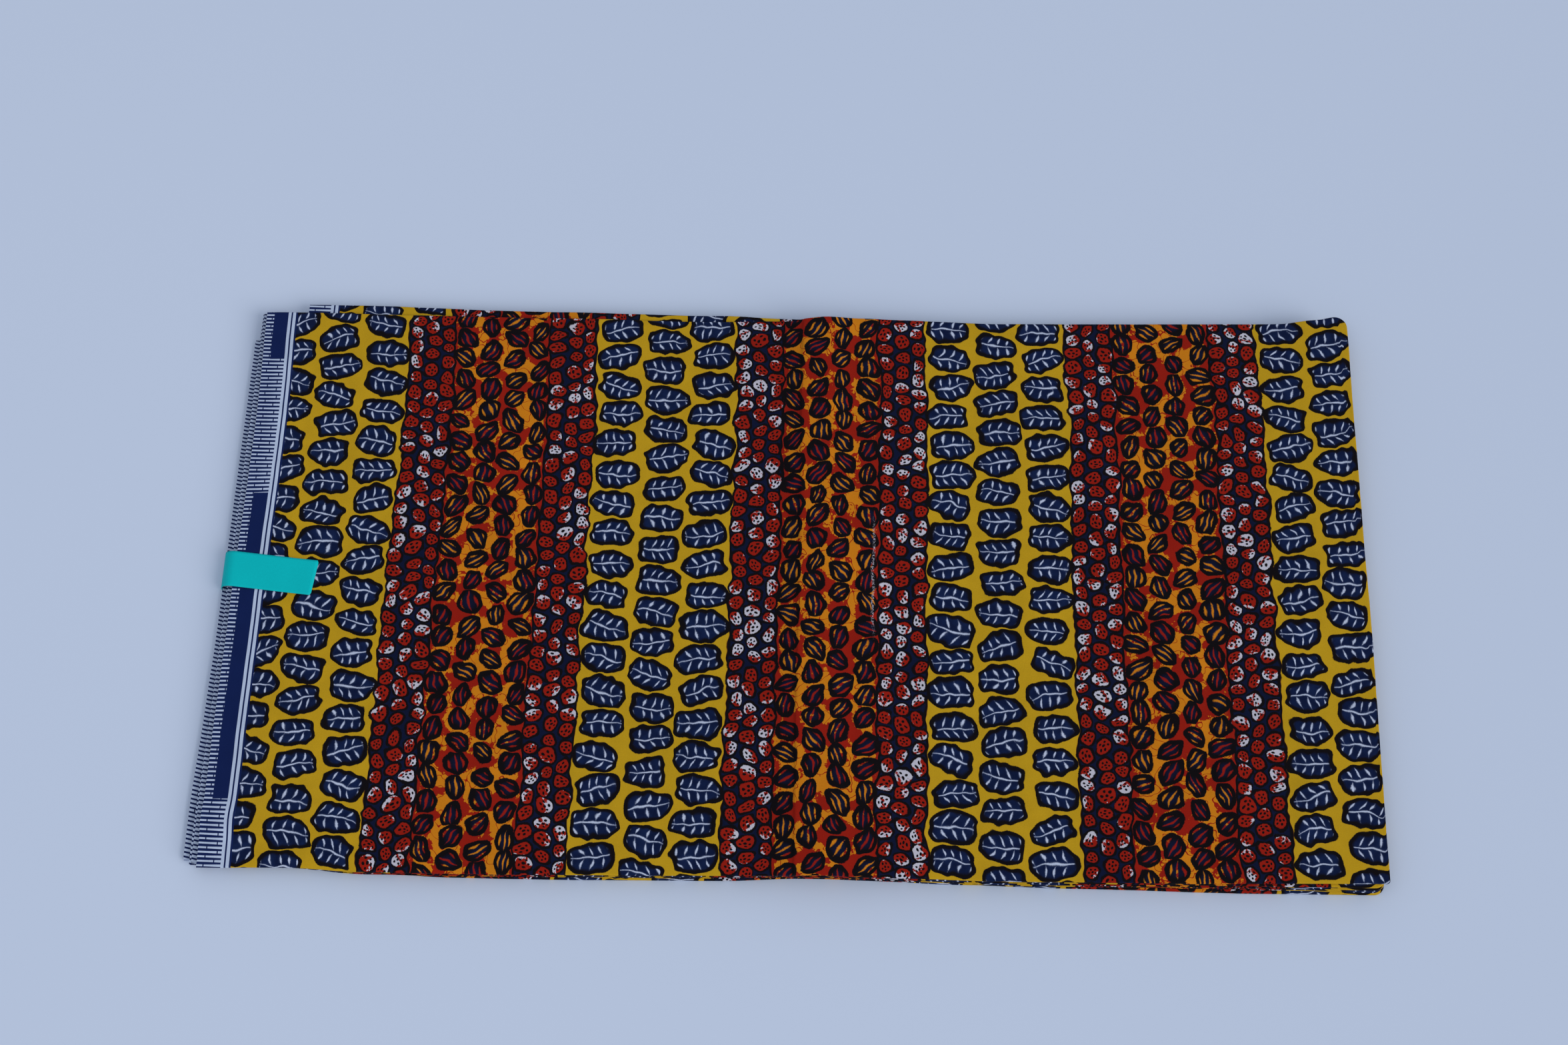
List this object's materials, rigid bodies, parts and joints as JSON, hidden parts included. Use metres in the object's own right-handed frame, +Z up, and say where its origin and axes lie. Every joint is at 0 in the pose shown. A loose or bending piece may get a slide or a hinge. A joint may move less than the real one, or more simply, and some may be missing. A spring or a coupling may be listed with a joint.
{
  "type": "ankara fabric",
  "caption": "Length of wax-print cotton folded into a flat oblong pack, with a soft centre crease, stepped selvedges and a bare paper label.",
  "frame": {"origin": "on the floor, at the middle of the pack's bounding box", "axes": "+X runs along the pack from its selvedges to its half fold, +Y from its near edge to its far edge, +Z up through the leaves"},
  "size_m": [0.598, 0.321, 0.0161],
  "materials": {
    "printed_cotton": "matte printed cotton with a faint wax sheen",
    "label_paper": "smooth coated paper"
  },
  "bodies": {
    "root": {"top_leaf": "printed_cotton", "rear_leaf": "printed_cotton", "inner_layers": "printed_cotton", "bottom_wrap": "printed_cotton", "edge_label": "label_paper"}
  },
  "joints": []
}
